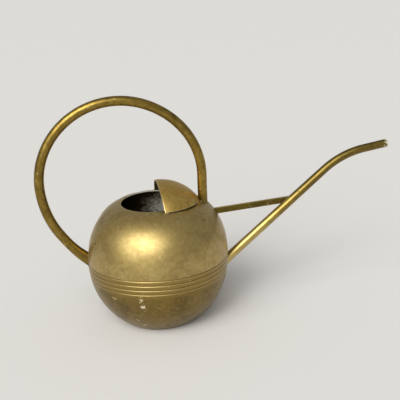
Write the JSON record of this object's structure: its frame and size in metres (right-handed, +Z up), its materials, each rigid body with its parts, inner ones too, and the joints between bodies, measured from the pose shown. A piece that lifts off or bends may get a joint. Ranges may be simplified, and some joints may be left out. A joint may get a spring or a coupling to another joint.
{
  "type": "watering can",
  "caption": "Small long-spouted watering can of tarnished sheet brass with a round tube handle, a braced thin spout and a hooded mouth.",
  "frame": {"origin": "centre of the flat base, on the surface the can stands on", "axes": "+Z up along the body's axis; +X from the axis towards the spout's tip; the handle lies in the XZ plane, its loop towards -X"},
  "size_m": [0.3542, 0.14, 0.2261],
  "materials": {
    "upper_brass": "satin, tarnished brown in patches",
    "lower_brass": "satin, tarnished and spotted with lime",
    "hood_brass": "matte, warm tan",
    "handle_brass": "satin, browned underneath",
    "spout_brass": "satin, browned underneath, limed at the end",
    "brace_brass": "dull, darkened"
  },
  "bodies": {
    "root": {"upper_shell": "upper_brass", "lower_shell": "lower_brass", "hood": "hood_brass", "handle": "handle_brass", "spout": "spout_brass", "brace": "brace_brass"}
  },
  "joints": []
}
